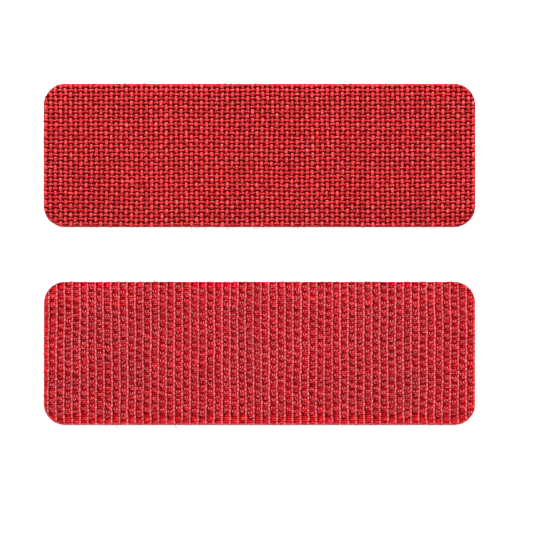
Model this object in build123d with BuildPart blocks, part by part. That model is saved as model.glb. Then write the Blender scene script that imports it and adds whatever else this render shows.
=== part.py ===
from build123d import *

import os
from math import sqrt

# A pair of short climbing-skin pads, laid out side by side on a table.
#
# Each pad is a flat laminate with rounded corners. From its face to its grip side it has a plain-woven
# face of lengthwise ends and crosswise picks, a bonding film, a coated base cloth, fine ground picks, and
# on the grip side straight cords with a row of filament loops in each lane between two of them. The upper
# pad lies with its woven face up. The lower pad is the same pad turned over, so its grip side is up.
#
# X runs along the pads, Y across them and Z up. The origin is on the table, midway between the two pads.
# A pad is made with its grip side down and its cords on Z = 0, and then laid in its place.

# Driving dimensions, in millimetres
pad_length = 76.2
pad_width = 25.4
corner_radius = 3.8
pad_gap = 9.5
edge_inset = 0.05
bond_line = 0.04

# Woven face
end_count = 33
end_pitch = 0.762
end_width = 0.36
end_crimp = 0.17
pick_count = 86
pick_pitch = 0.886
pick_width = 0.36
pick_crimp = 0.18
yarn_thickness = 0.16

# Sheets
film_thickness = 0.15
base_thickness = 0.46

# Grip side
cord_count = 55
cord_pitch = 1.39
cord_offset = 0.30
cord_width = 0.46
cord_height = 0.55
cord_rounding = 0.16
ground_pick_count = 71
ground_pick_pitch = 0.3575
ground_pick_diameter = 0.16
loop_row_width = 0.64
loop_row_height = 0.42
loop_row_rounding = 0.18

# Heights of the layers, counted up from the outer side of the cords
loop_row_middle = cord_height - loop_row_height / 2
ground_pick_axis = cord_height + bond_line + ground_pick_diameter / 2
base_bottom = ground_pick_axis + ground_pick_diameter / 2 + bond_line
film_bottom = base_bottom + base_thickness + bond_line
face_middle = film_bottom + film_thickness + bond_line + pick_crimp + yarn_thickness / 2
pad_thickness = face_middle + pick_crimp + yarn_thickness / 2


def row(count, pitch, middle=0):
    """Centre lines of a set of parallel yarns, evenly spaced about the middle."""
    return [middle + (i - (count - 1) / 2) * pitch for i in range(count)]


def half_chord(offset, half_across, half_along):
    """Half the length of a straight yarn that ends on the outline, at an offset from the middle."""
    beyond = max(abs(offset) - (half_across - corner_radius), 0)
    return half_along - corner_radius + sqrt(corner_radius**2 - beyond**2) - edge_inset


def crimp(turn):
    """Height of a woven yarn, from 1 over one crossing straight down to -1 under the next."""
    return 1 - 2 * abs((turn + 1) % 2 - 1)


def crimped_yarn(plane, half_length, width, pitch, count, amplitude):
    """One yarn of the woven face along its plane's X, over one crossing yarn and under the next."""
    crossings = row(count, pitch)
    inner = [s for s in crossings if abs(s) < half_length - yarn_thickness]
    stations = [-half_length, *inner, half_length]
    wave = [(s, amplitude * crimp((s - crossings[0]) / pitch)) for s in stations]
    above = [(s, h + yarn_thickness / 2) for s, h in wave]
    below = [(s, h - yarn_thickness / 2) for s, h in reversed(wave)]
    with BuildPart() as yarn:
        with BuildSketch(plane.offset(-width / 2)):
            with BuildLine():
                Polyline(*above, *below, close=True)
            make_face()
        extrude(amount=width)
    return yarn.part


# The outline that every layer is cut to
with BuildSketch() as outline:
    RectangleRounded(pad_length - 2 * edge_inset, pad_width - 2 * edge_inset, corner_radius - edge_inset)

# Woven face. Neighbouring yarns go over and under in turn, and those near a corner are shorter.
end_yarns = []
for i, y in enumerate(row(end_count, end_pitch)):
    plane = Plane(origin=(0, y, face_middle), x_dir=(1, 0, 0), z_dir=(0, -1, 0))
    reach = half_chord(abs(y) + end_width / 2, pad_width / 2, pad_length / 2)
    amplitude = end_crimp * (-1) ** i
    end_yarns.append(crimped_yarn(plane, reach, end_width, pick_pitch, pick_count, amplitude))

with BuildPart() as face_ends:
    add(end_yarns)

pick_yarns = []
for i, x in enumerate(row(pick_count, pick_pitch)):
    plane = Plane(origin=(x, 0, face_middle), x_dir=(0, 1, 0), z_dir=(1, 0, 0))
    reach = half_chord(abs(x) + pick_width / 2, pad_length / 2, pad_width / 2)
    amplitude = -pick_crimp * (-1) ** i
    pick_yarns.append(crimped_yarn(plane, reach, pick_width, end_pitch, end_count, amplitude))

with BuildPart() as face_picks:
    add(pick_yarns)

# Bonding film and coated base cloth
with BuildPart() as bonding_film:
    with BuildSketch(Plane.XY.offset(film_bottom)):
        add(outline.sketch)
    extrude(amount=film_thickness)

with BuildPart() as base_cloth:
    with BuildSketch(Plane.XY.offset(base_bottom)):
        add(outline.sketch)
    extrude(amount=base_thickness)

# Ground picks: fine straight yarns that run along the pad, under the base cloth
with BuildPart() as ground_picks:
    with BuildSketch(Plane.YZ.offset(-pad_length / 2)):
        with Locations(*[(y, ground_pick_axis) for y in row(ground_pick_count, ground_pick_pitch)]):
            Circle(ground_pick_diameter / 2)
    extrude(amount=pad_length)
    extrude(outline.sketch, amount=pad_thickness, mode=Mode.INTERSECT)

# Cords: rounded bars across the pad, which stand proud as its ribs and carry it on the table
with BuildPart() as cords:
    with BuildSketch(Plane.XZ.offset(-pad_width / 2)):
        with Locations(*[(x, cord_height / 2) for x in row(cord_count, cord_pitch, cord_offset)]):
            RectangleRounded(cord_width, cord_height, cord_rounding)
    extrude(amount=pad_width)
    extrude(outline.sketch, amount=pad_thickness, mode=Mode.INTERSECT)

# Loop rows: the filament of each lane, which stands in a row of loops between two cords
with BuildPart() as loop_rows:
    with BuildSketch(Plane.XZ.offset(-pad_width / 2)):
        with Locations(*[(x, loop_row_middle) for x in row(cord_count - 1, cord_pitch, cord_offset)]):
            RectangleRounded(loop_row_width, loop_row_height, loop_row_rounding)
    extrude(amount=pad_width)
    extrude(outline.sketch, amount=pad_thickness, mode=Mode.INTERSECT)

# Both pads, from the same layers
layers = {
    "face_ends": face_ends,
    "face_picks": face_picks,
    "bonding_film": bonding_film,
    "base_cloth": base_cloth,
    "ground_picks": ground_picks,
    "cords": cords,
    "loop_rows": loop_rows,
}
pad_middle = (pad_gap + pad_width) / 2
pads = {
    "upper": Location((0, pad_middle, 0)),
    "lower": Location((0, -pad_middle, pad_thickness), (180, 0, 0)),
}

os.makedirs("parts", exist_ok=True)
for pad, place in pads.items():
    for name, layer in layers.items():
        with BuildPart() as piece:
            with Locations(place):
                add(layer.part)
        piece.part.label = f"{pad}_{name}"
        export_step(piece.part, f"parts/{pad}_{name}.step", write_pcurves=False)
        print(piece.part.label, len(piece.part.solids()), round(piece.part.volume, 2))
print("pad thickness", round(pad_thickness, 3))
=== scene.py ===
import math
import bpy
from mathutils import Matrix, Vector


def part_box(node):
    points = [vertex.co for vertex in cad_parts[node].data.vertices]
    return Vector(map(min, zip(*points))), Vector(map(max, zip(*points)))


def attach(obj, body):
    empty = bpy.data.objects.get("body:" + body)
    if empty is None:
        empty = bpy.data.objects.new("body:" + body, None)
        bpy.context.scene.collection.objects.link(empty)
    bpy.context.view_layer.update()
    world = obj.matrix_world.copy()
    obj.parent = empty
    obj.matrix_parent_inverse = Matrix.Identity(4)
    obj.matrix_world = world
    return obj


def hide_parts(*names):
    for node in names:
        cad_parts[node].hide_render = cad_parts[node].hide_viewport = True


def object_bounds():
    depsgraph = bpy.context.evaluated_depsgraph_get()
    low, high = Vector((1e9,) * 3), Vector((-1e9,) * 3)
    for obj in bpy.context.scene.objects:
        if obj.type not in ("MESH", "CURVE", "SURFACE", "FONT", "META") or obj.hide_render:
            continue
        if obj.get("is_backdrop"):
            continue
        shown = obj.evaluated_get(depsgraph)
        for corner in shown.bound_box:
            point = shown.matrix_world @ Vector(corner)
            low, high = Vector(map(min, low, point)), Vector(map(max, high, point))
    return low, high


bl_info = {
    "name": "Climbing skin pads",
    "version": (1, 0, 0),
    "blender": (4, 5, 0),
    "location": "3D View > Sidebar > Skin Pads",
    "description": "Builds the yarns, cords, loops and sheets of a pair of short textile skin pads",
    "category": "Object",
}

import bpy
import numpy as np

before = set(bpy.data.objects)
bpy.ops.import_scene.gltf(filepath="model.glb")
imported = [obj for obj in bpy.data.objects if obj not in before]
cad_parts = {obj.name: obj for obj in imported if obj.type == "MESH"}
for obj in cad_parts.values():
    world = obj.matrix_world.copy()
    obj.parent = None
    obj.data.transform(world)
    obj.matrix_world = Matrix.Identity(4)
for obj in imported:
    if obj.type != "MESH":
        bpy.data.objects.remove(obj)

MM = 0.001
PADS = ("upper", "lower")
ALONG = np.array([1.0, 0.0, 0.0])
ACROSS = np.array([0.0, 1.0, 0.0])
UP = np.array([0.0, 0.0, 1.0])


# ---------------------------------------------------------------------------------------------------------
# Places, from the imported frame
# ---------------------------------------------------------------------------------------------------------


def layer_box(pad, layer):
    """Lowest and highest corners of one layer of a pad, as two arrays."""
    low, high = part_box(f"{pad}_{layer}")
    return np.array(low, float), np.array(high, float)


class Pad:
    """Where a pad lies. Heights count from the outer side of its cords towards its woven face."""

    def __init__(self, name, corner):
        self.name = name
        self.body = f"{name}_pad"
        self.corner = corner
        low, high = layer_box(name, "base_cloth")
        self.middle = (low + high) / 2
        self.half_length, self.half_width = (high - low)[:2] / 2
        cords_low, cords_high = layer_box(name, "cords")
        self.face_up = cords_low[2] < low[2]
        self.foot = cords_low[2] if self.face_up else cords_high[2]
        self.seed = PADS.index(name) + 1

    def laid(self, points):
        """Pad coordinates to the frame. A face-up pad is only moved, and a turned-over one is first turned
        half round about its long middle line, so y and height change sign together."""
        turn = 1.0 if self.face_up else -1.0
        place = np.array([self.middle[0], self.middle[1], self.foot])
        return points * np.array([1.0, turn, turn]) + place

    def heights(self, layer):
        """Lowest and highest height of one of the pad's layers, counted from the outer side of its cords."""
        low, high = layer_box(self.name, layer)
        ends = abs(low[2] - self.foot), abs(high[2] - self.foot)
        return min(ends), max(ends)


def pads(context):
    """Both pads, cut with the corner radius of the settings."""
    return [Pad(name, context.scene.skin_sheets.corner) for name in PADS]


# ---------------------------------------------------------------------------------------------------------
# Shapes as whole arrays
# ---------------------------------------------------------------------------------------------------------


def row(count, pitch, middle=0.0):
    """Places of a set of parallel yarns: middle + (i - (count - 1) / 2) * pitch."""
    return middle + (np.arange(count) - (count - 1) / 2) * pitch


def angles(around):
    """Equal steps round a circle: 2 pi i / around."""
    return 2 * np.pi * np.arange(around) / around


def eased(low, high, value):
    """0 below low, 1 above high and 3 t^2 - 2 t^3 between them."""
    t = np.clip((value - low) / (high - low), 0, 1)
    return t * t * (3 - 2 * t)


def smooth_noise(points, scale, seed):
    """A gentle field between about -1 and 1: the mean of six sines times a gain. Their directions and
    phases are drawn from the seed, and their wavelengths lie around the scale."""
    draw = np.random.default_rng(seed)
    waves, shortest, longest, gain = 6, 0.6, 1.7, 1.6
    angle = draw.uniform(0, 2 * np.pi, waves)
    length = scale * draw.uniform(shortest, longest, waves)
    phase = draw.uniform(0, 2 * np.pi, waves)
    along = points[..., 0, None] * np.cos(angle) + points[..., 1, None] * np.sin(angle)
    return np.sin(2 * np.pi * along / length + phase).mean(-1) * gain


def sway(points, pad):
    """The cloth's slight unevenness: every yarn leans and wanders by up to about a fifth of a millimetre."""
    moved = points.copy()
    moved[..., 0] += 0.10 * MM * smooth_noise(points, 14 * MM, 10 * pad.seed)
    moved[..., 1] += 0.12 * MM * smooth_noise(points, 18 * MM, 10 * pad.seed + 1)
    return moved


def near_edge(points, pad):
    """1 at the pad's edge, where the cut has crushed and paled the yarns, and 0 from 1.2 mm inwards."""
    crushed = 1.2 * MM
    inwards = np.minimum(pad.half_length - np.abs(points[..., 0]), pad.half_width - np.abs(points[..., 1]))
    return np.clip(1 - inwards / crushed, 0, 1)


def uneven_tone(draw, grid, seed, by_yarn, along_yarn, scale, limit, extra=0.0):
    """Shade of a set of yarns, as a factor: 1 + by_yarn * a random number for each + along_yarn * smooth
    noise + extra, and never further than the limit from 1."""
    tone = 1 + by_yarn * draw.standard_normal((len(grid), 1)) + along_yarn * smooth_noise(grid, scale, seed)
    return np.clip(tone + extra, 1 - limit, 1 + limit)


def drawn_onto_outline(points, pad):
    """Brings each point that lies past the pad's rounded outline back onto it: its offset q from the corner's
    centre is shortened to the corner radius, and its height stays."""
    core = np.array([pad.half_length - pad.corner, pad.half_width - pad.corner])
    inside = np.clip(points[..., :2], -core, core)
    q = points[..., :2] - inside
    far = np.hypot(q[..., 0], q[..., 1])
    share = np.minimum(1.0, pad.corner / np.maximum(far, 1e-12))
    out = points.copy()
    out[..., :2] = inside + q * share[..., None]
    return out


def runs(pad, place, width, stations, lengthwise):
    """Places along a set of straight yarns, in equal steps from edge to edge: (yarns, stations). Each
    reaches half_along - r + sqrt(r^2 - beyond^2) to both sides, where r is the corner radius and beyond is
    how far the yarn, with a third of its width, lies inside the corner's band."""
    half_along, half_across = pad.half_length, pad.half_width
    if not lengthwise:
        half_along, half_across = half_across, half_along
    beyond = np.clip(np.abs(place) + width / 3 - (half_across - pad.corner), 0, pad.corner)
    reach = half_along - pad.corner + np.sqrt(pad.corner**2 - beyond**2)
    return np.linspace(-1, 1, stations) * reach[:, None]


def tubes(centre, side, up, half_width, half_height, around):
    """Rings of a set of tubes: centre + half_width * cos(a) * side + half_height * sin(a) * up, with the
    angle a in equal steps. centre is (tubes, stations, 3), and the result is (tubes, stations, around,
    3)."""
    a = angles(around)
    shape = centre.shape[:2]
    wide = np.broadcast_to(half_width, shape)[..., None, None]
    high = np.broadcast_to(half_height, shape)[..., None, None]
    side = np.broadcast_to(side, centre.shape)[:, :, None, :]
    up = np.broadcast_to(up, centre.shape)[:, :, None, :]
    return centre[:, :, None, :] + wide * np.cos(a)[:, None] * side + high * np.sin(a)[:, None] * up


def filament_tubes(centre, radius, around):
    """Round tubes along bent centre lines: each ring stands square to its line, with its side level."""
    along = np.gradient(centre, axis=1)
    along /= np.linalg.norm(along, axis=-1, keepdims=True)
    side = np.cross(along, UP)
    side /= np.maximum(np.linalg.norm(side, axis=-1, keepdims=True), 1e-9)
    return tubes(centre, side, np.cross(side, along), radius, radius, around)


def tube_mesh(name, rings, values):
    """Closes the rings of many tubes into one mesh, with a quad between neighbouring points and a flat cap
    at each end. Each tube's own UV runs along it and around it, in metres, and values are point
    attributes."""
    count, stations, around, _ = rings.shape
    index = np.arange(count * stations * around).reshape(count, stations, around)
    here, there = index[:, :-1], index[:, 1:]
    quads = np.stack([here, np.roll(here, -1, 2), np.roll(there, -1, 2), there], -1).reshape(-1, 4)
    caps = np.concatenate([index[:, 0, ::-1], index[:, -1]])

    # Faces point outwards where the volume, the sum of middle . normal / 3, is positive
    points = rings.reshape(-1, 3)
    a, b, c, d = (points[quads[:, k]] for k in range(4))
    volume = ((a + b + c + d) / 4 * np.cross(c - a, d - b)).sum() / 6
    if volume < 0:
        quads, caps = quads[:, ::-1], caps[:, ::-1]

    corners = np.concatenate([quads.ravel(), caps.ravel()])
    starts = np.concatenate([np.arange(len(quads)) * 4, quads.size + np.arange(len(caps)) * around])
    mesh = bpy.data.meshes.new(name)
    mesh.vertices.add(len(points))
    mesh.vertices.foreach_set("co", points.ravel().astype(np.float32))
    mesh.loops.add(len(corners))
    mesh.loops.foreach_set("vertex_index", corners.astype(np.int32))
    mesh.polygons.add(len(starts))
    mesh.polygons.foreach_set("loop_start", starts.astype(np.int32))
    mesh.update(calc_edges=True)
    mesh.polygons.foreach_set("use_smooth", np.arange(len(starts)) < len(quads))

    step = np.linalg.norm(np.diff(rings.mean(2), axis=1), axis=-1)
    along = np.concatenate([np.zeros((count, 1)), np.cumsum(step, 1)], 1)
    girth = np.linalg.norm(np.roll(rings, -1, 2) - rings, axis=-1).sum(2).mean()
    u = np.repeat(along.reshape(-1), around)[corners]
    turn = (corners % around) / around
    # A quad that closes the ring ends at a whole turn, not back at 0
    last = turn[: quads.size].reshape(-1, 4)
    last[(last.max(1) - last.min(1) > 0.5)[:, None] & (last < 0.5)] += 1.0
    turn[: quads.size] = last.ravel()
    layer = mesh.uv_layers.new(name="Yarn")
    layer.data.foreach_set("uv", np.stack([u, turn * girth], -1).ravel().astype(np.float32))

    for key, value in values.items():
        spread = np.broadcast_to(value, rings.shape[:3]).ravel().astype(np.float32)
        mesh.attributes.new(key, "FLOAT", "POINT").data.foreach_set("value", spread)
    return mesh


def add_piece(name, mesh, material, body, slot, *nodes):
    """Puts a finished mesh into the scene with its material, on its body and in place of its nodes."""
    piece = bpy.data.objects.new(name, mesh)
    bpy.context.scene.collection.objects.link(piece)
    mesh.materials.append(material)
    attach(piece, body)
    if nodes:
        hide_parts(*nodes)


def add_yarns(pad, layer, kind, shape, material, slot):
    """Makes the rings and values of a layer's yarns one piece, in place of the layer's node."""
    rings, values = shape
    name = f"{pad.name}_{layer}_{kind}"
    mesh = tube_mesh(name, pad.laid(rings), values)
    add_piece(name, mesh, material, pad.body, slot, f"{pad.name}_{layer}")


# ---------------------------------------------------------------------------------------------------------
# Materials
# ---------------------------------------------------------------------------------------------------------

SHEEN_TINT = "#FF8C8C"
# Colour of the painted glints on the tops of the yarns
GLINT_COLOUR = "#F8A8AC"


def linear(colour):
    """An sRGB hex colour to linear values: (c / 12.92) or ((c + 0.055) / 1.055) ** 2.4, with alpha 1."""
    parts = [int(colour[i : i + 2], 16) / 255 for i in (1, 3, 5)]
    return [c / 12.92 if c <= 0.04045 else ((c + 0.055) / 1.055) ** 2.4 for c in parts] + [1.0]


def node(tree, kind, links=(), **settings):
    """Adds a node. links are (socket, value or output) pairs, and settings are its properties."""
    made = tree.nodes.new(kind)
    for key, value in settings.items():
        setattr(made, key, value)
    for socket, value in links:
        if isinstance(value, bpy.types.NodeSocket):
            tree.links.new(value, made.inputs[socket])
        else:
            made.inputs[socket].default_value = value
    return made


def new_material(name, roughness, sheen=0.0, ior=1.53, specular=0.5):
    """A material with its surface shader, for nylon unless the index of refraction says otherwise."""
    material = bpy.data.materials.new(name)
    material.use_nodes = True
    tree = material.node_tree
    surface = tree.nodes["Principled BSDF"]
    surface.inputs["Roughness"].default_value = roughness
    surface.inputs["IOR"].default_value = ior
    surface.inputs["Specular IOR Level"].default_value = specular
    surface.inputs["Sheen Weight"].default_value = sheen
    surface.inputs["Sheen Roughness"].default_value = 0.4
    surface.inputs["Sheen Tint"].default_value = linear(SHEEN_TINT)
    return material, tree, surface


def yarn_material(
    name, deep, crown, roughness, filament, grain, glint, specular, lift=0.01 * MM, sheen=0.0
):
    """A dyed nylon yarn with painted light: from the attribute height, the crown colour is painted on the lit
    tops as a highlight, and the deep colour fills the rest as painted shade where a yarn dips into crossings
    and hollows. Each yarn and stretch is a little lighter or darker. Its crimped filaments show as grain, as
    painted glints of pale filament on the tops, and as fine lines that run along the yarn with a slow twist.
    A real filament is about 0.03 mm thick, too fine to show, so the grain and the lines are drawn coarser."""
    patch_size, patch_depth = 6 * MM, 0.25
    crimp_size = 0.26 * MM
    twist = 0.35
    material, tree, surface = new_material(name, roughness, sheen, specular=specular)
    coords = node(tree, "ShaderNodeTexCoord")
    height = node(tree, "ShaderNodeAttribute", attribute_name="height")
    tone = node(tree, "ShaderNodeAttribute", attribute_name="tone")
    # Painted light: the attribute height blends the deep colour, painted shade, with the crown colour, a
    # painted highlight
    depth = node(
        tree,
        "ShaderNodeMix",
        [("Factor", height.outputs["Fac"]), (6, linear(deep)), (7, linear(crown))],
        data_type="RGBA",
    )

    # Lighter and darker: cloudy patches, each yarn's own tone, which on the lengthwise yarns also holds their
    # painted side shade, and the grain of the crimped filaments
    cloud = node(
        tree,
        "ShaderNodeTexNoise",
        [("Vector", coords.outputs["Object"]), ("Scale", 1 / patch_size), ("Detail", 3.0)],
    )
    shade = node(
        tree,
        "ShaderNodeMath",
        [(0, cloud.outputs["Fac"]), (1, patch_depth), (2, 1 - patch_depth / 2)],
        operation="MULTIPLY_ADD",
    )
    toned = node(
        tree,
        "ShaderNodeMath",
        [(0, shade.outputs[0]), (1, tone.outputs["Fac"])],
        operation="MULTIPLY",
    )
    crimped = node(
        tree,
        "ShaderNodeTexNoise",
        [("Vector", coords.outputs["Object"]), ("Scale", 1 / crimp_size), ("Detail", 2.0)],
    )
    grained = node(
        tree,
        "ShaderNodeMath",
        [(0, crimped.outputs["Fac"]), (1, 2 * grain), (2, 1 - grain)],
        operation="MULTIPLY_ADD",
    )
    value = node(
        tree,
        "ShaderNodeMath",
        [(0, toned.outputs[0]), (1, grained.outputs[0])],
        operation="MULTIPLY",
    )

    # Painted glints of pale filament where the crimp stands highest, on the lit tops only
    glints = node(
        tree,
        "ShaderNodeMapRange",
        [(0, crimped.outputs["Fac"]), (1, 0.54), (2, 0.72), (3, 0.0), (4, glint)],
    )
    pale = node(
        tree,
        "ShaderNodeMath",
        [(0, glints.outputs[0]), (1, height.outputs["Fac"])],
        operation="MULTIPLY",
    )
    glinted = node(
        tree,
        "ShaderNodeMix",
        [("Factor", pale.outputs[0]), (6, depth.outputs[2]), (7, linear(GLINT_COLOUR))],
        data_type="RGBA",
    )
    colour = node(
        tree,
        "ShaderNodeHueSaturation",
        [("Color", glinted.outputs[2]), ("Value", value.outputs[0])],
    )

    # The lines: sine of 2 pi (along * twist + around) / filament
    uv = node(tree, "ShaderNodeUVMap", uv_map="Yarn")
    axes = node(tree, "ShaderNodeSeparateXYZ", [("Vector", uv.outputs["UV"])])
    twisted = node(
        tree,
        "ShaderNodeMath",
        [(0, axes.outputs["X"]), (1, twist), (2, axes.outputs["Y"])],
        operation="MULTIPLY_ADD",
    )
    lines = node(
        tree,
        "ShaderNodeMath",
        [(0, twisted.outputs[0]), (1, 2 * math.pi / filament)],
        operation="MULTIPLY",
    )
    ridge = node(tree, "ShaderNodeMath", [(0, lines.outputs[0])], operation="SINE")
    bump = node(
        tree,
        "ShaderNodeBump",
        [("Height", ridge.outputs[0]), ("Strength", 0.6), ("Distance", lift)],
    )
    tree.links.new(colour.outputs["Color"], surface.inputs["Base Color"])
    tree.links.new(bump.outputs["Normal"], surface.inputs["Normal"])
    return material


def sheet_material(name, low, high, grain, roughness, lift):
    """A coated cloth or film: a mottled colour with a fine grain in its surface."""
    material, tree, surface = new_material(name, roughness, specular=0.15)
    coords = node(tree, "ShaderNodeTexCoord")
    spots = node(
        tree,
        "ShaderNodeTexNoise",
        [("Vector", coords.outputs["Object"]), ("Scale", 1 / grain), ("Detail", 4.0)],
    )
    colour = node(
        tree,
        "ShaderNodeMix",
        [("Factor", spots.outputs["Fac"]), (6, linear(low)), (7, linear(high))],
        data_type="RGBA",
    )
    bump = node(
        tree,
        "ShaderNodeBump",
        [("Height", spots.outputs["Fac"]), ("Strength", 0.5), ("Distance", lift)],
    )
    tree.links.new(colour.outputs[2], surface.inputs["Base Color"])
    tree.links.new(bump.outputs["Normal"], surface.inputs["Normal"])
    return material


# ---------------------------------------------------------------------------------------------------------
# Sizes and colours
# ---------------------------------------------------------------------------------------------------------


def length(name, description, default):
    """A length property with its default in metres."""
    return bpy.props.FloatProperty(
        name=name,
        description=description,
        default=default,
        min=0.0,
        subtype="DISTANCE",
        unit="LENGTH",
        precision=5,
    )


def count_of(name, description, default):
    """A property that counts yarns, loops or fibres."""
    return bpy.props.IntProperty(name=name, description=description, default=default, min=2)


def hex_colour(name, description, default):
    """A colour property, as an sRGB hex value."""
    return bpy.props.StringProperty(name=name, description=description, default=default)


class SkinFaceSettings(bpy.types.PropertyGroup):
    """The plain-woven face"""

    end_count: count_of("Ends", "Yarns along the pad", 33)
    end_pitch: length("End pitch", "From one lengthwise yarn to the next", 0.762 * MM)
    end_width: length("End width", "Width of a flattened lengthwise yarn", 0.54 * MM)
    end_thickness: length("End thickness", "Thickness of a lengthwise yarn", 0.24 * MM)
    end_crimp: length("End crimp", "How far a lengthwise yarn rises and falls", 0.07 * MM)
    pick_count: count_of("Picks", "Yarns across the pad", 86)
    pick_pitch: length("Pick pitch", "From one crosswise yarn to the next", 0.886 * MM)
    pick_width: length("Pick width", "Width of a flattened crosswise yarn", 0.66 * MM)
    pick_thickness: length("Pick thickness", "Thickness of a crosswise yarn", 0.25 * MM)
    pick_crimp: length("Pick crimp", "How far a crosswise yarn rises and falls", 0.135 * MM)
    # The crown colours are painted highlights and the deep colours painted shade, blended by the attribute
    # height
    end_highlight: hex_colour("End crown", "Colour of a lengthwise yarn on its tops", "#E04048")
    pick_highlight: hex_colour("Pick crown", "Colour of a crosswise yarn on its tops", "#EE4042")
    end_shade: hex_colour("End deep", "Colour of the lengthwise yarns beside the lit filaments", "#A00408")
    pick_shade: hex_colour("Pick deep", "Colour of the crosswise yarns in the crossings", "#B8060C")


class SkinGripSettings(bpy.types.PropertyGroup):
    """The cords, loops and ground yarns of the grip side"""

    cord_count: count_of("Cords", "Cords across the pad", 55)
    cord_pitch: length("Cord pitch", "From one cord to the next", 1.39 * MM)
    cord_offset: length("Cord offset", "How far the set of cords lies towards +X", 0.30 * MM)
    cord_width: length("Cord width", "Width of a cord at a bead", 0.37 * MM)
    bead_pitch: length("Bead pitch", "From one bead of a cord to the next", 0.715 * MM)
    ground_count: count_of("Ground picks", "Fine yarns along the pad", 71)
    ground_pitch: length("Ground pitch", "From one ground pick to the next", 0.3575 * MM)
    ground_width: length("Ground width", "Width of a ground pick where it bulges", 0.42 * MM)
    ground_rise: length("Ground rise", "How far a ground pick bulges out of a lane", 0.26 * MM)
    loop_rows: count_of("Loop rows", "Loops along a lane", 17)
    loop_pitch: length("Loop pitch", "From one loop to the next along a lane", 1.43 * MM)
    loop_leg: length("Loop leg", "Length of a loop's straight legs", 0.36 * MM)
    loop_spacing: length("Loop spacing", "Distance between a loop's two legs", 0.44 * MM)
    loop_lead: length("Loop lead", "From the tops of a loop's legs to the bulge of the ground", 0.51 * MM)
    filament: length("Filament", "Diameter of the loops' filament", 0.13 * MM)
    # Cord highlight is a painted highlight on the cords' crests
    cord_highlight: hex_colour("Cord crown", "Colour of the cords on their tops", "#F87078")
    # Loop glint is a painted glint on the tops of the loops' legs
    loop_glint: hex_colour("Loop crown", "Colour of the tops of the loops", "#DC7E8A")
    loop_bend: hex_colour("Loop bend", "Colour of the loops' bends", "#CC1C28")
    ground_crown: hex_colour("Ground crown", "Colour of the bulges of the ground", "#E01E2A")
    # Deep is painted shade down in the lanes and where the cords meet the ground
    deep: hex_colour("Deep", "Colour of the yarns down in the lanes", "#AC0810")


class SkinSheetSettings(bpy.types.PropertyGroup):
    """The sheets, the outline and the cut edge"""

    corner: length("Corner radius", "Radius of the pad's corners", 3.75 * MM)
    rim: length("Rim", "Thickness of the fused rim along the cut edge", 0.32 * MM)
    fibres: count_of("Fibres", "Loose fibre ends along a pad's edge", 70)
    low: hex_colour("Dark", "Dark mottle of the coated cloth", "#B0080E")
    high: hex_colour("Light", "Light mottle of the coated cloth", "#C40E16")
    rim_low: hex_colour("Rim dark", "Dark mottle of the fused rim", "#B01C26")
    rim_high: hex_colour("Rim light", "Light mottle of the fused rim", "#E2505A")


class SkinStageSettings(bpy.types.PropertyGroup):
    """Floor, lights and camera"""

    view_width: length("View width", "Width of the floor that the camera sees", 93.9 * MM)
    lens: bpy.props.FloatProperty(name="Lens", description="Focal length in millimetres", default=250.0)
    key: bpy.props.FloatProperty(name="Key", description="Power of the key light, in watts", default=3.9)
    floor_glow: bpy.props.FloatProperty(name="Floor glow", description="Light of the lit table", default=0.85)
    fill: bpy.props.FloatProperty(name="Fill", description="Strength of the even light", default=0.30)


GROUPS = {
    "skin_face": SkinFaceSettings,
    "skin_grip": SkinGripSettings,
    "skin_sheets": SkinSheetSettings,
    "skin_stage": SkinStageSettings,
}


# ---------------------------------------------------------------------------------------------------------
# The woven face
# ---------------------------------------------------------------------------------------------------------

# The side of a lengthwise yarn that faces the key light and gets a painted highlight, as an angle from its +Y
# side
LIT_SIDE = math.radians(45)


def crimp(turn):
    """Height of a woven yarn, 1 over a crossing and -1 under the next: cos(pi t), pushed once through
    h (3 - h^2) / 2, which flattens its tops."""
    height = np.cos(np.pi * turn)
    return height * (3 - height**2) / 2


def tilted_up(lift, run, along):
    """The direction square to a yarn's centre line and as near to up as it can be: (up - slope * along) /
    sqrt(1 + slope^2), with the slope kept under the steepest."""
    steepest = 1.5
    slope = np.gradient(lift, axis=1) / np.maximum(np.abs(np.gradient(run, axis=1)), 1e-6)
    slope = np.clip(slope, -steepest, steepest)
    tilt = 1 / np.sqrt(1 + slope**2)
    return UP * tilt[..., None] - along * (slope * tilt)[..., None]


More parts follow.
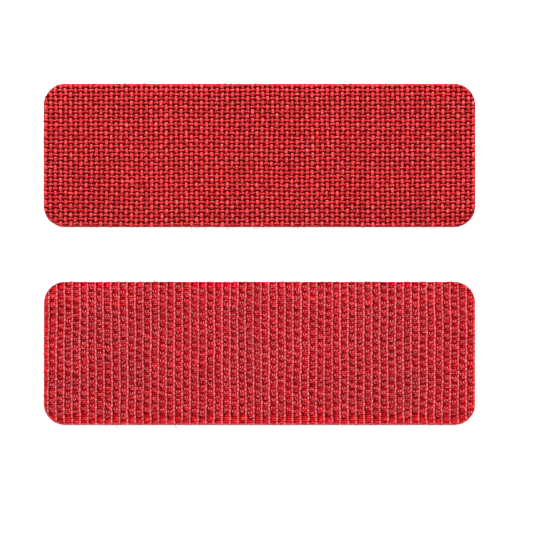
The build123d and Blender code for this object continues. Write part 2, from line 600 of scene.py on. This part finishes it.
def woven_rings(pad, s, lengthwise):
    """One set of the face's yarns, the ends or the picks. Each runs straight, and its height is middle +
    crimp * wave(place / pitch), where the sign of the wave changes from one yarn to the next. It is widest
    on its tops."""
    if lengthwise:
        count, pitch, width, thickness = s.end_count, s.end_pitch, s.end_width, s.end_thickness
        crossed, crossed_pitch, rise = s.pick_count, s.pick_pitch, s.end_crimp
        steps, around, along, side = 4, 8, ALONG, ACROSS
    else:
        count, pitch, width, thickness = s.pick_count, s.pick_pitch, s.pick_width, s.pick_thickness
        crossed, crossed_pitch, rise = s.end_count, s.end_pitch, -s.pick_crimp
        steps, around, along, side = 5, 6, ACROSS, ALONG
    draw = np.random.default_rng(100 * pad.seed + lengthwise)
    place = row(count, pitch)
    stations = steps * crossed + 1
    run = runs(pad, place, width, stations, lengthwise)
    sign = np.where(np.arange(count) % 2 == 0, 1.0, -1.0)[:, None]
    first = row(crossed, crossed_pitch)[0]
    wave = sign * crimp((run - first) / crossed_pitch)
    low, high = pad.heights("face_picks")
    lift = (low + high) / 2 + rise * wave
    grid = np.stack([run, np.repeat(place[:, None], stations, 1)], -1)
    beside = place[:, None] + 0.07 * MM * smooth_noise(grid, 1.8 * MM, 7 + lengthwise)
    centre = sway(np.stack([run, beside, lift] if lengthwise else [beside, run, lift], -1), pad)
    top = np.sign(rise) * wave
    wide = width / 2 * (0.86 + 0.14 * top) * (1 + 0.10 * draw.standard_normal((count, stations)))
    rings = tubes(centre, side, tilted_up(lift, run, along), wide, thickness / 2, around)

    # Painted light: an end gets a painted highlight along its lit side and painted shade, through its tone,
    # on the other. A pick gets a painted highlight on its top. Both are painted darker in the crossings,
    # where they dip under
    a = angles(around)
    if lengthwise:
        least, side_shade = 0.28, 0.36 + 0.64 * np.clip(np.cos(a - LIT_SIDE) + 0.25, 0, 1)
        painted_highlight = np.clip(np.cos(a - LIT_SIDE), 0, 1) ** 4
    else:
        least, side_shade = 0.68, 1.0
        painted_highlight = 0.15 + 0.85 * np.clip(np.sin(a), 0, 1) ** 1.5
    height = np.clip(least + 0.55 * top, 0, 1)[..., None] * painted_highlight
    paled = 0.12 * near_edge(grid if lengthwise else grid[..., ::-1], pad)
    tone = uneven_tone(
        draw, grid, 9 + lengthwise, by_yarn=0.07, along_yarn=0.20, scale=1.2 * MM, limit=0.4, extra=paled
    )
    return drawn_onto_outline(rings, pad), {"height": height, "tone": tone[..., None] * side_shade}


class SKIN_OT_face(bpy.types.Operator):
    """Weaves the face of both pads from its ends and picks"""

    bl_idname = "skin.face"
    bl_label = "Woven face"

    def execute(self, context):
        s = context.scene.skin_face
        # Textured nylon, plain woven and dyed: painted highlights broken by fine filament lines
        nylon = {"filament": 0.06 * MM, "grain": 0.9, "specular": 0.06}
        ends = yarn_material("woven nylon ends", s.end_shade, s.end_highlight, 0.55, glint=0.6, **nylon)
        picks = yarn_material("woven nylon picks", s.pick_shade, s.pick_highlight, 0.6, glint=0.4, **nylon)
        for pad in pads(context):
            add_yarns(pad, "face_ends", "yarns", woven_rings(pad, s, True), ends, "face_yarn")
            add_yarns(pad, "face_picks", "yarns", woven_rings(pad, s, False), picks, "face_yarn")
        return {"FINISHED"}


# ---------------------------------------------------------------------------------------------------------
# The grip side
# ---------------------------------------------------------------------------------------------------------

# Where the loops of four neighbouring lanes lie along them, as shares of the loop pitch
LOOP_STAGGER = (0.80, 0.15, 0.65, 0.38)

# How much further the pattern lies along the last lane than along the first, in loop pitches
LANE_DRIFT = 0.3

# Stations along a loop, as shares of its length, closest at its feet
LOOP_STATIONS = np.array([0.0, 0.06, 0.13, 0.22, 0.34, 0.5, 0.66, 0.78, 0.87, 0.94, 1.0])


def lane_shift(lane, s):
    """How far the pattern of a lane lies along it, in loop pitches: the repeat of four lanes, and a drift
    that grows evenly from the first lane to the last. The lanes count from 0."""
    staggered = np.take(LOOP_STAGGER, np.mod(lane, len(LOOP_STAGGER)).astype(int))
    return staggered + LANE_DRIFT * lane / s.cord_count


def from_bulge(lane, y, s):
    """Distance of a place in a lane from the middle of the nearest bulge of its ground, in loop pitches."""
    return np.mod(y / s.loop_pitch + lane_shift(lane, s) + 0.5, 1.0) - 0.5


def cord_rings(pad, s):
    """The cords: straight tubes across the pad. Their radius swells and narrows as 1 - waist * (1 - bead)^2,
    where bead is the size of a cosine along the cord, and every second bead is a little smaller."""
    draw = np.random.default_rng(300 + pad.seed)
    steps, around, waist = 5, 8, 0.24
    place = row(s.cord_count, s.cord_pitch, s.cord_offset)
    stations = int(steps * 2 * pad.half_width / s.bead_pitch)
    run = runs(pad, place, s.cord_width, stations, lengthwise=False)
    lane = np.maximum(np.arange(s.cord_count) - 1, 0)[:, None]
    beat = from_bulge(lane, run, s) + 0.05 * draw.standard_normal((s.cord_count, 1))
    bead = np.abs(np.cos(np.pi * beat * s.loop_pitch / s.bead_pitch))
    main = 0.5 + 0.5 * np.cos(2 * np.pi * beat)
    swell = (1 - waist * (1 - bead) ** 2) * (0.94 + 0.06 * main)
    low, high = pad.heights("cords")
    grid = np.stack([np.repeat(place[:, None], stations, 1), run], -1)
    aside = 0.06 * MM * smooth_noise(grid, 1.6 * MM, 31) + 0.03 * MM * (main - 0.5)
    half_height = (high - low) / 2
    lift = (low + high) / 2 + half_height * (1 - swell)
    centre = sway(np.stack([grid[..., 0] + aside, run, lift], -1), pad)
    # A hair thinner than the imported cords, so that the swells stay inside their box
    tall = 0.98 * half_height * (2 * swell - 1)
    rings = drawn_onto_outline(tubes(centre, ALONG, -UP, s.cord_width / 2 * swell, tall, around), pad)
    # Painted highlight on the crests of the larger beads, fading to painted shade where the cord meets the
    # ground
    rise = 1 - rings[..., 2] / (high * 1.02)
    height = np.clip(rise * (0.78 + 0.14 * bead + 0.14 * main)[..., None], 0, 1)
    tone = uneven_tone(draw, grid, 33, by_yarn=0.07, along_yarn=0.16, scale=1.0 * MM, limit=0.3)
    return rings, {"height": height, "tone": tone[..., None]}


def ground_rings(pad, s):
    """The ground picks: fine yarns along the pad that dip under each cord. Beside the next cord they rise
    out of the lane by half their rise, and by the other half where the lane has its one bulge per loop:
    rise * (risen + bulge) / 2, where bulge = risen * (1 - eased(distance from the bulge))."""
    draw = np.random.default_rng(400 + pad.seed)
    steps, around = 5, 5
    place = row(s.ground_count, s.ground_pitch)
    stations = steps * s.cord_count
    run = runs(pad, place, s.ground_width, stations, lengthwise=True)
    lanes = (run - s.cord_offset) / s.cord_pitch + (s.cord_count - 1) / 2
    lane = np.clip(np.floor(lanes), 0, s.cord_count - 2)
    share = lanes - np.floor(lanes)
    beat = np.abs(from_bulge(lane, place[:, None], s))
    risen = eased(0.20, 0.52, share) * (1 - eased(0.92, 1.0, share))
    bulge = risen * (1 - eased(0.16, 0.40, beat))
    bulge = bulge * (1 + 0.12 * draw.standard_normal(bulge.shape)).clip(0.6, 1.2)
    low, high = pad.heights("ground_picks")
    lift = (low + high) / 2 - s.ground_rise * (0.5 * risen + 0.5 * bulge)
    grid = np.stack([run, np.repeat(place[:, None], stations, 1)], -1)
    aside = 0.04 * MM * smooth_noise(grid, 1.3 * MM, 41)
    centre = sway(np.stack([run, grid[..., 1] + aside, lift], -1), pad)
    wide = s.ground_width / 2 * (0.88 + 0.12 * bulge)
    rings = tubes(centre, ACROSS, -UP, wide, (high - low) / 2 * (1 + 0.8 * bulge), around)
    # Painted shade down in the lane and in the groove beside each cord, lighter on the bulges
    height = np.clip(0.02 + 0.40 * risen + 0.50 * bulge, 0, 1)
    paled = 0.15 * near_edge(grid, pad)
    tone = uneven_tone(
        draw, grid, 42, by_yarn=0.08, along_yarn=0.14, scale=0.9 * MM, limit=0.35, extra=paled
    )
    return drawn_onto_outline(rings, pad), {"height": height[..., None], "tone": tone[..., None]}


def loop_places(pad, s):
    """Where the tops of the loops' legs are: ahead of each bulge of the ground in each lane, without those
    that would pass the outline."""
    lane = np.arange(s.cord_count - 1)
    x = row(s.cord_count - 1, s.cord_pitch, s.cord_offset)
    number = np.arange(-((s.loop_rows + 1) // 2), s.loop_rows // 2 + 1)
    y = (number - lane_shift(lane, s)[:, None]) * s.loop_pitch - s.loop_lead
    places = np.stack(np.broadcast_arrays(x[:, None], y), -1).reshape(-1, 2)
    reach = (s.loop_spacing + s.filament) / 2
    core = np.array([pad.half_length, pad.half_width]) - pad.corner
    inside = np.ones(len(places), bool)
    for corner in ((-reach, -reach), (reach, -reach), (-reach, s.loop_leg), (reach, s.loop_leg)):
        over = np.maximum(np.abs(places + np.array(corner)) - core, 0)
        inside &= np.hypot(over[:, 0], over[:, 1]) <= pad.corner - 0.1 * MM
    return places[inside]


def hairpins(pad, s, places, draw):
    """The loops: a hairpin with two legs of its leg length and a half circle between them. It rises steeply
    out of the ground at the feet of its legs, is highest at their tops, and leans over onto the bulge of the
    ground: height = top + (foot - top) * (1 - t / leg_top)^2 up to there, and it sinks by a quarter of that
    afterwards. Returns the rings and the height attribute along a loop, which paints a glint at the tops of
    its legs."""
    count, t = len(places), LOOP_STATIONS
    radius = s.loop_spacing / 2
    # Shares of a loop's length: where the bend begins, and where the leg stands highest
    leg, leg_top = 0.3, 0.14
    bend = np.clip((t - leg) / (1 - 2 * leg), 0, 1) * np.pi
    near = np.minimum(t, 1 - t)
    x = -radius * np.cos(bend)
    y = radius * np.sin(bend) + s.loop_leg * (np.clip(near / leg, 0, 1) - 0.4)
    low, high = pad.heights("cords")
    foot, top = high - 0.02 * MM, low + 0.14 * MM
    climb = np.clip(1 - near / leg_top, 0, 1) ** 2
    sink = eased(leg_top, 0.5, near)
    lift = top + (foot - top) * (climb + 0.25 * sink)
    size = 1 + 0.10 * draw.standard_normal((count, 1))
    skew = 0.20 * draw.standard_normal((count, 1))
    px = places[:, :1] + x * size + skew * y + 0.04 * MM * draw.standard_normal((count, 1))
    py = places[:, 1:] + y * size + 0.06 * MM * draw.standard_normal((count, 1))
    pz = lift + 0.04 * MM * draw.standard_normal((count, 1)) * (1 - climb)
    centre = sway(np.stack([px, py, np.maximum(pz, s.filament * 0.6)], -1), pad)
    return filament_tubes(centre, s.filament / 2, 5), np.clip(1 - 2 * sink - climb, 0, 1)[:, None]


def slack_curls(pad, s, places, draw):
    """Slack filament lies in a short curl on each bulge: an arc of 200 degrees, turned at random."""
    count = len(places)
    arc = np.linspace(0, np.radians(200), len(LOOP_STATIONS))
    turn = draw.uniform(-np.pi, np.pi, (count, 1)) + arc
    wide = draw.uniform(0.12, 0.24, (count, 1)) * MM
    px = places[:, :1] + 0.12 * MM * draw.standard_normal((count, 1)) + wide * np.cos(turn)
    py = places[:, 1:] + s.loop_lead + 0.10 * MM * draw.standard_normal((count, 1))
    py = py + 1.3 * wide * np.sin(turn)
    on_bulge = pad.heights("cords")[1] - s.ground_rise - 0.13 * MM
    pz = on_bulge + 0.05 * MM * np.cos(2 * turn)
    centre = sway(np.stack([px, py, pz], -1), pad)
    return drawn_onto_outline(filament_tubes(centre, s.filament / 2, 5), pad)


def loop_rings(pad, s):
    """The filaments of the loop rows: a hairpin and a slack curl at each place."""
    draw = np.random.default_rng(500 + pad.seed)
    places = loop_places(pad, s)
    shape = (len(places), len(LOOP_STATIONS), 1)
    loops, height = hairpins(pad, s, places, draw)
    tone = np.clip(1 + 0.14 * draw.standard_normal((len(places), 1, 1)), 0.65, 1.35)
    curls = slack_curls(pad, s, places, draw)
    pale = draw.uniform(0.0, 0.6, (len(places), 1, 1))
    # The hairpins' height attribute is their painted glint, and the curls' is a random paleness
    heights = np.concatenate([np.broadcast_to(height, shape), np.broadcast_to(pale, shape)])
    return np.concatenate([loops, curls]), {"height": heights, "tone": np.concatenate([tone, tone[::-1]])}


class SKIN_OT_grip(bpy.types.Operator):
    """Lays the ground picks, the cords and the loops of both pads' grip sides"""

    bl_idname = "skin.grip"
    bl_label = "Grip side"

    def execute(self, context):
        s = context.scene.skin_grip
        # Bulked nylon cord, piece dyed and dull, with a painted highlight where it stands up
        cords = yarn_material(
            "bulked nylon cord",
            s.deep,
            s.cord_highlight,
            roughness=0.6,
            filament=0.07 * MM,
            grain=0.8,
            glint=0.35,
            specular=0.12,
            sheen=0.06,
        )
        # Fine textured nylon, woven: the floor of the lanes, painted darker down in them as shade
        ground = yarn_material(
            "fine nylon ground pick",
            s.deep,
            s.ground_crown,
            roughness=0.6,
            filament=0.05 * MM,
            grain=1.1,
            glint=0.2,
            specular=0.05,
        )
        # Drawn nylon filament, heat set: smooth and glossy, with a painted glint at the tops of its legs
        loops = yarn_material(
            "drawn nylon filament",
            s.loop_bend,
            s.loop_glint,
            roughness=0.3,
            filament=0.2 * MM,
            grain=0.4,
            glint=0.2,
            specular=0.4,
            lift=0.001 * MM,
        )
        for pad in pads(context):
            add_yarns(pad, "ground_picks", "yarns", ground_rings(pad, s), ground, "ground_yarn")
            add_yarns(pad, "cords", "beaded", cord_rings(pad, s), cords, "cord_yarn")
            add_yarns(pad, "loop_rows", "filaments", loop_rings(pad, s), loops, "loop_filament")
        return {"FINISHED"}


# ---------------------------------------------------------------------------------------------------------
# The sheets and the cut edge
# ---------------------------------------------------------------------------------------------------------


def outline(pad, inset, steps):
    """Points in equal steps round the pad's outline, inset by a distance, and the outward direction at
    each: they lie on four straight sides and on four arcs about the corners' centres, in turn."""
    corner = pad.corner - inset
    half = np.array([pad.half_length, pad.half_width]) - inset
    straight = 2 * (half - corner)
    arc = np.pi / 2 * corner
    lengths = np.array([straight[1], arc, straight[0], arc] * 2)
    ends = np.concatenate([[0.0], np.cumsum(lengths)])
    s = np.arange(steps) / steps * ends[-1]
    part = np.clip(np.searchsorted(ends, s, side="right") - 1, 0, 7)
    share = (s - ends[part]) / lengths[part]
    quarter = part // 2
    angle = (quarter + np.where(part % 2 == 1, share, 0.0)) * np.pi / 2
    centres = (half - corner) * np.array([[1, 1], [-1, 1], [-1, -1], [1, -1]])
    before = np.roll(centres, 1, 0)
    here = centres[quarter]
    on_side = (part % 2 == 0)[:, None]
    here = np.where(on_side, before[quarter] + (centres[quarter] - before[quarter]) * share[:, None], here)
    outward = np.stack([np.cos(angle), np.sin(angle)], -1)
    return here + corner * outward, outward


def rim_mesh(name, pad, thickness):
    """A closed band round the cut edge, from the cords to the face: middle + wide * cos(a) outwards and
    tall * sin(a) upwards, where the width, the height and the place vary smoothly along the outline."""
    steps, around = 1400, 8
    # It stops short of the crests of the cords and of the face
    low = pad.heights("cords")[0] + 0.15 * MM
    high = pad.heights("face_picks")[1] - 0.08 * MM
    points, outward = outline(pad, thickness / 2, steps)
    uneven = smooth_noise(points, 1.1 * MM, 600 + pad.seed)
    slow = smooth_noise(points, 7 * MM, 610 + pad.seed)
    jagged = 0.09 * MM * smooth_noise(points, 0.7 * MM, 620 + pad.seed)
    a = angles(around)
    wide = thickness / 2 * (1 + 0.25 * uneven)
    tall = (high - low) / 2 * (0.92 + 0.05 * slow)
    middle = (high + low) / 2 + 0.04 * MM * uneven
    points = points + jagged[:, None] * outward
    flat = points[:, None] + (wide[:, None] * np.cos(a))[..., None] * outward[:, None]
    rings = np.concatenate([flat, (middle[:, None] + tall[:, None] * np.sin(a))[..., None]], -1)
    index = np.arange(steps * around).reshape(steps, around)
    there = np.roll(index, -1, 0)
    quads = np.stack([index, there, np.roll(there, -1, 1), np.roll(index, -1, 1)], -1).reshape(-1, 4)
    mesh = bpy.data.meshes.new(name)
    mesh.from_pydata(pad.laid(rings).reshape(-1, 3).tolist(), [], quads.tolist())
    mesh.shade_smooth()
    return mesh


def fibre_rings(pad, count):
    """Short curved fibre ends that stand out of the cut edge: place + outward * reach * t + bend * t^2."""
    draw = np.random.default_rng(700 + pad.seed)
    radius, around = 0.03 * MM, 4
    rooted, choices = 0.15 * MM, 4000
    points, outward = outline(pad, rooted, choices)
    picked = draw.integers(0, len(points), count)
    t = np.linspace(0, 1, 6)
    reach = draw.uniform(0.15, 0.55, (count, 1, 1)) * MM
    bend = draw.normal(0, 0.25, (count, 1, 2)) * MM
    stand = outward[picked][:, None] * reach * t[None, :, None]
    flat = points[picked][:, None] + stand + bend * (t**2)[None, :, None]
    low, high = pad.heights("base_cloth")[0], pad.heights("face_picks")[1]
    lift = draw.uniform(low, high, (count, 1)) + draw.normal(0, 0.15, (count, 1)) * MM * t
    centre = np.concatenate([flat, np.clip(lift, 0.1 * MM, high - 0.05 * MM)[..., None]], -1)
    side = np.cross(np.gradient(centre, axis=1), UP)
    side /= np.maximum(np.linalg.norm(side, axis=-1, keepdims=True), 1e-9)
    return tubes(centre, side, UP, radius, radius, around)


class SKIN_OT_sheets(bpy.types.Operator):
    """Finishes the film and the base cloth, and adds the fused rim and the loose fibres of the cut edge"""

    bl_idname = "skin.sheets"
    bl_label = "Sheets and edge"

    def execute(self, context):
        s = context.scene.skin_sheets
        # Woven polyester, resin coated: dark and dull, seen only between the yarns and at the edge
        cloth = sheet_material("resin-coated base cloth", s.low, s.high, 0.35 * MM, 0.7, 0.02 * MM)
        # Polyurethane film, heat bonded: a little glossier than the cloth
        film = sheet_material("heat-bonded polyurethane film", s.low, s.high, 0.8 * MM, 0.45, 0.01 * MM)
        # Nylon cut with a hot knife: melted, lighter and smoother than the yarns
        fused = sheet_material("hot-cut nylon rim", s.rim_low, s.rim_high, 0.35 * MM, 0.5, 0.03 * MM)
        for pad in pads(context):
            for layer, material in (("base_cloth", cloth), ("bonding_film", film)):
                sheet = bpy.data.objects[f"{pad.name}_{layer}"]
                sheet.data.materials.clear()
                sheet.data.materials.append(material)
            name = f"{pad.name}_fused_rim"
            add_piece(name, rim_mesh(name, pad, s.rim), fused, pad.body, "face_yarn")
            name = f"{pad.name}_edge_fibres"
            mesh = tube_mesh(name, pad.laid(fibre_rings(pad, s.fibres)), {})
            add_piece(name, mesh, fused, pad.body, "face_yarn")
        return {"FINISHED"}


# ---------------------------------------------------------------------------------------------------------
# The stage
# ---------------------------------------------------------------------------------------------------------

# Name, place in metres, size in metres and share of the key light's power of each lamp
LAMPS = (
    ("key light", (0.03, 0.42, 0.34), 0.16, 1.0),
    ("side light", (-0.35, 0.20, 0.45), 0.30, 0.2),
)

# The object lies a little left of and above the middle of the view
AIM_OFFSET = np.array([1.23, -2.15, 0.0]) * MM


def add_to_scene(name, data):
    """Links a new object with its data to the scene."""
    made = bpy.data.objects.new(name, data)
    bpy.context.scene.collection.objects.link(made)
    return made


class SKIN_OT_stage(bpy.types.Operator):
    """Sets the floor, the lights and the camera"""

    bl_idname = "skin.stage"
    bl_label = "Stage"

    def execute(self, context):
        s, scene = context.scene.skin_stage, context.scene
        scene.view_settings.view_transform = "Standard"

        # Matt board on a lit table: white, dull and with hardly a shadow
        board, tree, surface = new_material("matt white board", 0.9, ior=1.45)
        surface.inputs["Base Color"].default_value = linear("#F7F7F7")
        surface.inputs["Emission Color"].default_value = linear("#FFFFFF")
        surface.inputs["Emission Strength"].default_value = s.floor_glow
        # Seen from below, the floor lets the pads' undersides show
        facing = node(tree, "ShaderNodeNewGeometry")
        clear = node(tree, "ShaderNodeBsdfTransparent")
        either = node(
            tree,
            "ShaderNodeMixShader",
            [(0, facing.outputs["Backfacing"]), (1, surface.outputs["BSDF"]), (2, clear.outputs["BSDF"])],
        )
        tree.links.new(either.outputs["Shader"], tree.nodes["Material Output"].inputs["Surface"])
        mesh = bpy.data.meshes.new("floor")
        mesh.from_pydata([(-2, -2, 0), (2, -2, 0), (2, 2, 0), (-2, 2, 0)], [], [(0, 1, 2, 3)])
        mesh.materials.append(board)
        add_to_scene("floor", mesh)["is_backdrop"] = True

        scene.world = bpy.data.worlds.new("even light")
        scene.world.use_nodes = True
        background = scene.world.node_tree.nodes["Background"]
        background.inputs["Color"].default_value = (1, 1, 1, 1)
        background.inputs["Strength"].default_value = s.fill

        # Each lamp looks at the origin: it is turned down from +Z by its polar angle, and round to its side
        for name, place, size, share in LAMPS:
            lamp = bpy.data.lights.new(name, "AREA")
            lamp.energy, lamp.size = s.key * share, size
            holder = add_to_scene(name, lamp)
            holder.location = place
            x, y, z = place
            holder.rotation_euler = math.atan2(math.hypot(x, y), z), 0.0, math.atan2(-y, -x) - math.pi / 2

        low, high = (np.array(c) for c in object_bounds())
        aim = (low + high) / 2 + AIM_OFFSET
        camera = bpy.data.cameras.new("camera")
        camera.lens = s.lens
        camera.clip_start, camera.clip_end = 0.01, 10.0
        distance = s.view_width * s.lens / camera.sensor_width
        scene.camera = add_to_scene("camera", camera)
        scene.camera.location = aim[0], aim[1], high[2] + distance
        return {"FINISHED"}


class SKIN_PT_panel(bpy.types.Panel):
    """Lists the parts of the pads"""

    bl_idname = "SKIN_PT_panel"
    bl_label = "Skin Pads"
    bl_space_type = "VIEW_3D"
    bl_region_type = "UI"
    bl_category = "Skin Pads"

    def draw(self, context):
        for key, operator in (
            ("skin_face", "skin.face"),
            ("skin_grip", "skin.grip"),
            ("skin_sheets", "skin.sheets"),
            ("skin_stage", "skin.stage"),
        ):
            column = self.layout.column(align=True)
            settings = getattr(context.scene, key)
            for name in settings.__annotations__:
                column.prop(settings, name)
            column.operator(operator)


CLASSES = (
    *GROUPS.values(),
    SKIN_OT_face,
    SKIN_OT_grip,
    SKIN_OT_sheets,
    SKIN_OT_stage,
    SKIN_PT_panel,
)


def register():
    for item in CLASSES:
        bpy.utils.register_class(item)
    for key, group in GROUPS.items():
        setattr(bpy.types.Scene, key, bpy.props.PointerProperty(type=group))


def unregister():
    for key in GROUPS:
        delattr(bpy.types.Scene, key)
    for item in reversed(CLASSES):
        bpy.utils.unregister_class(item)


def main():
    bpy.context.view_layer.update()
    register()
    bpy.ops.skin.stage()
    bpy.ops.skin.sheets()
    bpy.ops.skin.face()
    bpy.ops.skin.grip()
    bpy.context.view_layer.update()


if __name__ == "__main__":
    main()
